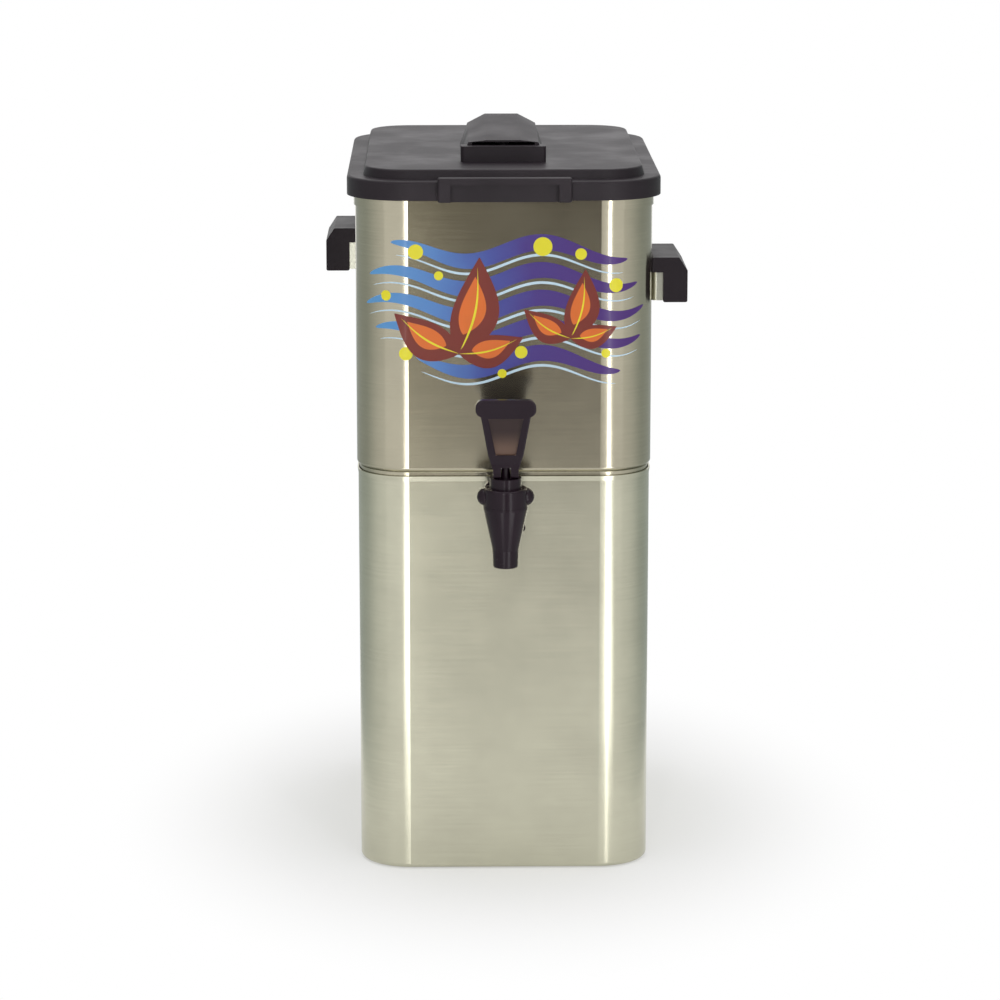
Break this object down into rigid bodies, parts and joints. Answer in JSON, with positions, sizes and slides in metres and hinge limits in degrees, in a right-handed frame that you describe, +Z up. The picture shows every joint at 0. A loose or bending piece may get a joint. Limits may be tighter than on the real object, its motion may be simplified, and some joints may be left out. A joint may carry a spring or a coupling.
{
  "type": "iced tea dispenser",
  "caption": "Tall rectangular stainless iced tea dispenser on a hollow stand, with a black lift-off lid, side carrying grips and a spring-loaded lever tap.",
  "frame": {"origin": "on the bench, under the middle of the stand in plan, leaving the tap and the grips out", "axes": "+Z up; the tap stands out towards -Y; +X is to the right for someone facing the tap"},
  "size_m": [0.2936, 0.4101, 0.5948],
  "materials": {
    "stainless_wrap": "satin stainless sheet, grain running up and down",
    "stainless_inner": "satin stainless pressing",
    "stainless_strap": "satin stainless strap",
    "screw_steel": "bright stainless wire and screws",
    "black_lid": "fine-grained moulded black plastic",
    "black_grip": "satin moulded black plastic",
    "black_tap": "glossy moulded black plastic",
    "black_lever": "glossy moulded black plastic",
    "silicone": "food-grade silicone",
    "vinyl_print": "printed vinyl film on the upper front"
  },
  "bodies": {
    "vessel": {"tank_shell": "stainless_wrap", "tank_floor": "stainless_inner", "stand_shell": "stainless_wrap", "handle_bracket_left": "stainless_strap", "handle_bracket_right": "stainless_strap", "handle_grip_left": "black_grip", "handle_grip_right": "black_grip", "handle_screws": "screw_steel", "outlet_fitting": "black_tap", "outlet_gasket": "silicone", "outlet_washer": "silicone", "outlet_locknut": "black_tap", "union_washer": "silicone", "wing_nut": "black_tap", "tap_body": "black_tap", "tap_bonnet": "black_tap", "stem_spring": "screw_steel"},
    "lid": {"lid_cover": "black_lid", "lid_handle": "black_lid", "lid_handle_screws": "screw_steel"},
    "stem": {"valve_stem": "black_tap", "seat_cup": "silicone", "lever_pin": "screw_steel"},
    "lever": {"tap_lever": "black_lever"}
  },
  "joints": [
    {"name": "lid_lift", "type": "slide", "parent": "vessel", "child": "lid", "axis": [0, 0, 1], "range_m": [0, 0.1]},
    {"name": "stem_lift", "type": "slide", "parent": "vessel", "child": "stem", "axis": [0, 0, 1], "range_m": [0, 0.0024], "deforming": ["stem_spring"]},
    {"name": "lever_pull", "type": "hinge", "parent": "stem", "child": "lever", "pos_m": [0, -0.216, 0.34095], "axis": [1, 0, 0], "range_deg": [0, 35], "stiffness_Nm_per_rad": 0.06, "springref_deg": -51.57}
  ],
  "couplings": [
    {"joint": "stem_lift", "follows": "lever_pull", "m_per_rad": 0.00383}
  ]
}
